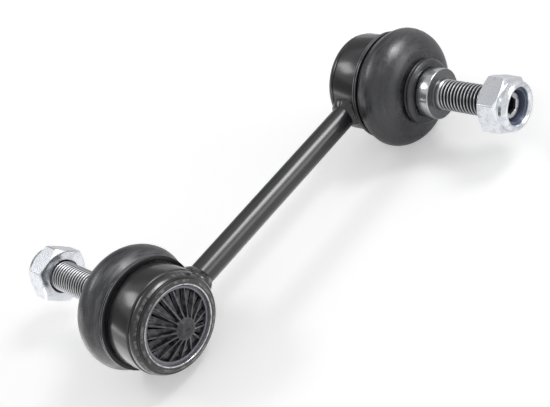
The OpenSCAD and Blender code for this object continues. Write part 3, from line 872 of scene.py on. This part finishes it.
class STABILIZER_OT_nuts(bpy.types.Operator):
    """Builds the lock nuts and the nylon rings in their crowns."""

    bl_idname = "stabilizer_link.nuts"
    bl_label = "Lock Nuts"
    bl_options = {"REGISTER", "UNDO"}

    # Turn of each end's hexagon, and the room between a nut, its ring and the thread
    turns = (math.radians(24), math.radians(48))
    room = 0.05 * MM

    def execute(self, context):
        sizes = context.scene.link_sizes
        for end, face, turn in zip(ENDS, (NUT_FACE, LOWER_NUT_FACE), self.turns):
            nut = self.nut(sizes)
            bmesh.ops.rotate(nut, verts=nut.verts, cent=(0, 0, 0), matrix=Matrix.Rotation(turn, 3, "Z"))
            bmesh.ops.translate(nut, verts=nut.verts, vec=(0, 0, face))
            piece = placed(nut, end + "_nut_plated", end)
            dress(piece, finish_of("zinc_bright", zinc_plate), "zinc_steel", end + "_lock_nut")
            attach(piece, end + "_nut")
            ring = turned(self.insert(sizes))
            bmesh.ops.translate(ring, verts=ring.verts, vec=(0, 0, face))
            piece = placed(ring, end + "_insert_ring", end)
            dress(piece, finish_of("nylon_indigo", nylon), "nylon", end + "_nut_insert")
            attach(piece, end + "_insert")
        return {"FINISHED"}

    def nut(self, sizes):
        """Hexagon with chamfered corners, a countersunk face and a crown rolled in over the ring."""
        width, high, crown, top = sizes.nut_width, sizes.hex_height, sizes.crown_radius, NUT_TOP - NUT_FACE
        bore, pocket = sizes.thread_radius + self.room, INSERT_RADIUS + self.room
        face, lean = 0.95 * width / 2, math.tan(math.radians(30))
        mouth, curl, shoulder = sizes.mouth_radius, sizes.crown_curl, top - 1.8 * MM
        crest, floor = (crown + mouth) / 2, INSERT_BACK - NUT_FACE - self.room
        edge = top - curl - 0.5 * MM

        def flank(angle, foot, way):
            """Where the chamfer, which starts at a height and goes up or down, meets the hexagon."""
            radius = hexagon(width, angle)
            return radius, foot + way * (radius - face) * lean

        def ring_at(radius, height):
            """A round ring."""
            return lambda angle: (radius, height)

        rounded = [*bow((crest, shoulder), crown - crest, top - shoulder, 0, 90, SHORT),
                   *bow((crest, top - curl), crest - mouth, curl, 96, 180, SHORT)]
        bm = bmesh.new()
        bmesh.ops.create_circle(bm, segments=TURN, radius=bore)
        bmesh.ops.translate(bm, verts=bm.verts, vec=(0, 0, floor))
        ring = bm.edges[:]
        spots = [
            ring_at(bore, 0.6 * MM), ring_at(bore + 0.7 * MM, 0), ring_at(face, 0),
            lambda angle: flank(angle, 0, 1), lambda angle: flank(angle, high, -1),
            ring_at(face, high), ring_at(crown + 0.12 * MM, high), ring_at(crown, high + 0.15 * MM),
            *(ring_at(r, z) for r, z, _ in rounded),
            ring_at(mouth, edge), ring_at(pocket, edge), ring_at(pocket, floor), ring_at(bore, floor)]
        for spot in spots:
            ring = pull_ring(bm, ring, spot)
        corner = 0.999 * hexagon(width, 0)
        corners = [e for e in bm.edges if all(v.co.xy.length > corner for v in e.verts)]
        bmesh.ops.bevel(bm, geom=corners, offset=0.2 * MM, offset_type="OFFSET", segments=CORNER, profile=0.5,
                        affect="EDGES", material=-1)
        settle(bm)
        return bm

    def insert(self, sizes):
        """Corners of the nylon ring, with its step up inside the crown's rolled edge."""
        bore, lip = sizes.thread_radius + self.room, sizes.mouth_radius - self.room
        back, top = INSERT_BACK - NUT_FACE, INSERT_TOP - NUT_FACE
        step = top - 0.3 * MM
        return [(bore, back, 0.1 * MM), (INSERT_RADIUS, back, 0.1 * MM), (INSERT_RADIUS, step, 0.1 * MM),
                (lip, step, 0), (lip, top, 0.1 * MM), (bore, top, 0.15 * MM)]


class STABILIZER_OT_seats(bpy.types.Operator):
    """Gives the bearing shells of the frame their finish."""

    bl_idname = "stabilizer_link.seats"
    bl_label = "Bearing Shells"
    bl_options = {"REGISTER", "UNDO"}

    def execute(self, context):
        for end in ENDS:
            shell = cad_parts[end + "_ball_seat"]
            shell.material_slots[0].material = finish_of("plastic_bearing", seat_plastic)
        return {"FINISHED"}


class STABILIZER_OT_stage(bpy.types.Operator):
    """Sets the camera, the lamps, the white surroundings and the floor."""

    bl_idname = "stabilizer_link.stage"
    bl_label = "Stage"
    bl_options = {"REGISTER", "UNDO"}

    # Height of the floor, half its width, and how far the cards stand from the link
    ground = CAD_BOX[0].z
    reach = 1.6
    card_place = 0.55
    # Strength of the surroundings in mirrors, and of the floor under the link and in mirrors on its left
    mirrored_fill = 0.85
    floor_near = 0.36
    floor_left = 0.5

    def execute(self, context):
        scene = context.scene
        scene.view_settings.view_transform = "Standard"
        self.camera(scene)
        self.surroundings(scene)
        self.floor()
        # A bright patch of floor beside the lower nut
        patch = Vector((-0.098, 0.040, self.ground + 0.5 * MM))
        self.lamp(scene, "lamp_back", self.away(-160, 46), size=(0.37, 0.21), strength=7.0)
        self.lamp(scene, "lamp_right", self.away(48, 53, 0.9), size=(0.25, 0.25), strength=9.0)
        self.lamp(scene, "lamp_front", self.away(26, 14, 0.9), size=(0.40, 0.40), strength=2.6)
        self.lamp(scene, "lamp_low", self.away(-137, 2, 0.6), size=(0.28, 0.05), strength=3.0)
        self.lamp(scene, "lamp_floor", patch, size=(0.044, 0.07), strength=0.9, aim=patch + Vector((0, 0, 1)))
        glow = self.lamp(scene, "lamp_right_glow", self.away(48, 51, 0.95), size=(0.56, 0.50), strength=5.0)
        glow.visible_diffuse = False
        self.card("card_left", turn=(176, 250), heights=(0.06, 0.31), strength=0.2)
        self.card("card_right", turn=(122, 172), heights=(0.08, 0.50), strength=0.3)
        self.card("card_low", turn=(148, 174), heights=(self.ground, 0.08), strength=0.3)
        self.card("card_top", turn=(140, 215), heights=(0.78, 1.5), strength=0.6)
        return {"FINISHED"}

    def camera(self, scene):
        """The camera, with the stage's place, turn and lens."""
        settings = scene.link_stage
        lens = bpy.data.cameras.new("camera")
        lens.sensor_width = 36
        lens.lens = settings.lens
        lens.clip_start = 0.01
        camera = bpy.data.objects.new("camera", lens)
        camera.location = settings.camera_place
        camera.rotation_euler = settings.camera_turn
        scene.collection.objects.link(camera)
        scene.camera = camera

    def rays(self, finish):
        """Two masks: 1 for rays from the camera, and 1 for rays from a mirror or glass."""
        camera = finish.node("ShaderNodeLightPath", output="Is Camera Ray")
        return camera, camera.other("Is Glossy Ray").most(camera.other("Is Transmission Ray"))

    def surroundings(self, scene):
        """White all round, dimmer as light on the link than to the camera and in mirrors."""
        fill = scene.link_stage.fill
        world = bpy.data.worlds.new("surroundings")
        finish = Finish(world)
        camera, mirrored = self.rays(finish)
        light = finish.node("ShaderNodeBackground", None, {
            "Color": WHITE, "Strength": fill + (1 - fill) * camera + (self.mirrored_fill - fill) * mirrored})
        finish.node("ShaderNodeOutputWorld", None, {"Surface": light})
        scene.world = world

    def floor(self):
        """A white floor under the link, whiter to the camera further out and to mirrors on the left."""
        bm = bmesh.new()
        bmesh.ops.create_grid(bm, x_segments=4, y_segments=4, size=self.reach)
        bmesh.ops.translate(bm, verts=bm.verts, vec=(0, 0, self.ground))
        floor = placed(bm, "floor")
        finish = Finish(bpy.data.materials.new("floor_white"))
        matt = finish.node("ShaderNodeBsdfDiffuse", None, {"Color": FLOOR_WHITE})
        camera, mirrored = self.rays(finish)
        x, y, _ = finish.parts()
        left, far = 1 - (x + 0.6 * y).rise(-0.02, 0.06), (x * x + y * y).rise(0.04, 0.6)
        seen = self.floor_near + (1 - self.floor_near) * far
        glow = finish.node("ShaderNodeEmission", None, {
            "Strength": camera * seen + mirrored * left * self.floor_left})
        both = finish.node("ShaderNodeAddShader", None, {0: matt, 1: glow})
        finish.node("ShaderNodeOutputMaterial", None, {"Surface": both})
        floor.data.materials.append(finish.block)

    def away(self, azimuth, elevation, distance=1):
        """Place at an azimuth and elevation, in degrees, and a distance from the link's middle."""
        azimuth, elevation = math.radians(azimuth), math.radians(elevation)
        return distance * Vector((math.sin(azimuth) * math.cos(elevation),
                                  -math.cos(azimuth) * math.cos(elevation), math.sin(elevation)))

    def card(self, name, turn, heights, strength):
        """A grey curved card behind the link, between two azimuths, that only shiny surfaces show."""
        bm = bmesh.new()
        start = self.away(turn[0], 0, self.card_place)
        points = [bm.verts.new((start.x, start.y, height)) for height in heights]
        bm.edges.new(points)
        bmesh.ops.spin(bm, geom=bm.verts[:] + bm.edges[:], cent=(0, 0, 0), axis=(0, 0, 1),
                       angle=math.radians(turn[1] - turn[0]), steps=CURVE)
        card = placed(bm, name)
        finish = Finish(bpy.data.materials.new(name + "_grey"))
        grey = finish.node("ShaderNodeEmission", None, {"Strength": strength})
        finish.node("ShaderNodeOutputMaterial", None, {"Surface": grey})
        card.data.materials.append(finish.block)
        card.visible_camera = False
        card.visible_diffuse = False
        card.visible_shadow = False

    def lamp(self, scene, name, place, size, strength, aim=Vector()):
        """A soft lamp at a place, aimed at a point."""
        light = bpy.data.lights.new(name, "AREA")
        light.shape = "RECTANGLE"
        light.size, light.size_y = size
        light.energy = strength * math.pi * size[0] * size[1]
        lamp = bpy.data.objects.new(name, light)
        lamp.location = place
        lamp.rotation_euler = (place - aim).to_track_quat("Z", "Y").to_euler()
        lamp.visible_camera = False
        scene.collection.objects.link(lamp)
        return lamp


class STABILIZER_PT_link(bpy.types.Panel):
    """Lists the link's sizes, colours, stage and pieces."""

    bl_idname = "STABILIZER_PT_link"
    bl_label = "Stabilizer Link"
    bl_space_type = "VIEW_3D"
    bl_region_type = "UI"
    bl_category = "Stabilizer Link"

    def draw(self, context):
        for group, settings in GROUPS.items():
            box = self.layout.box()
            for name in group.__annotations__:
                box.prop(getattr(context.scene, settings), name)
        for step in STEPS:
            self.layout.operator(step.bl_idname)


GROUPS = {LinkSizes: "link_sizes", LinkColours: "link_colours", LinkStage: "link_stage"}
STEPS = (STABILIZER_OT_rod, STABILIZER_OT_housings, STABILIZER_OT_end_caps, STABILIZER_OT_boots,
         STABILIZER_OT_studs, STABILIZER_OT_nuts, STABILIZER_OT_seats, STABILIZER_OT_stage)


def register():
    """Registers the classes and hangs the settings on the scene."""
    for cls in (*GROUPS, *STEPS, STABILIZER_PT_link):
        bpy.utils.register_class(cls)
    for group, name in GROUPS.items():
        setattr(bpy.types.Scene, name, PointerProperty(type=group))


def unregister():
    """Takes the settings and the classes away again."""
    for name in GROUPS.values():
        delattr(bpy.types.Scene, name)
    for cls in reversed((*GROUPS, *STEPS, STABILIZER_PT_link)):
        bpy.utils.unregister_class(cls)


def main():
    """Builds every piece and the stage."""
    register()
    for step in STEPS:
        group, name = step.bl_idname.split(".")
        getattr(getattr(bpy.ops, group), name)()


if __name__ == "__main__":
    main()
